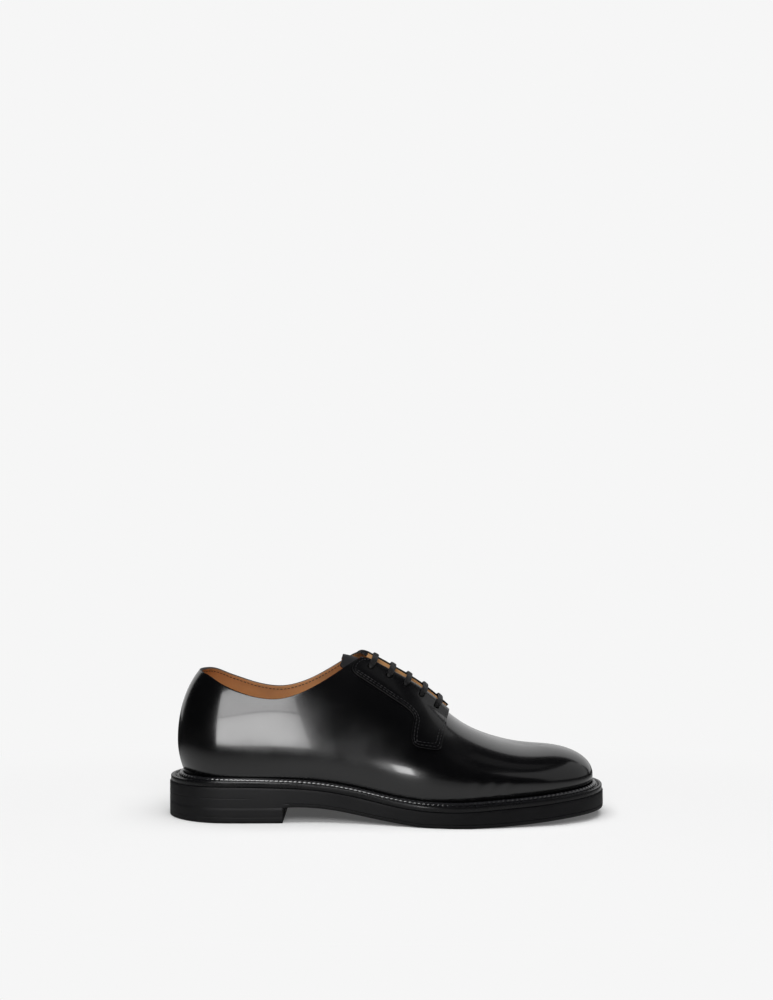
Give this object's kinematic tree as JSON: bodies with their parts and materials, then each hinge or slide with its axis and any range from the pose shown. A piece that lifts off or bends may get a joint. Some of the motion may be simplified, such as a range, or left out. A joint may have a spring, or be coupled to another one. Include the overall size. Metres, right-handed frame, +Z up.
{
  "type": "derby shoe",
  "caption": "Low lace-up derby shoe with open lacing over the instep, a beaded welt all round, a thick rubber sole and a low heel; right foot, smooth polished finish.",
  "frame": {"origin": "centre of the shoe's bounding box in plan, at the level of the floor", "axes": "+X runs to the toe, -Y to the lateral (outer) side, +Y to the medial (inner) side, +Z up"},
  "size_m": [0.3018, 0.1063, 0.1123],
  "materials": {
    "sole_rubber": "matte black moulded rubber",
    "welt_rubber": "satin black, with a raised bead and a stitch groove",
    "upper_leather": "smooth black leather with a high polish",
    "lining_leather": "plain tan lining leather",
    "lace_cotton": "flat black woven cotton, lightly waxed"
  },
  "bodies": {
    "root": {"outsole": "sole_rubber", "heel": "sole_rubber", "welt": "welt_rubber", "insole": "lining_leather", "upper": "upper_leather", "tongue": "upper_leather", "facing_lateral": "upper_leather", "facing_medial": "upper_leather", "lace": "lace_cotton"}
  },
  "joints": []
}
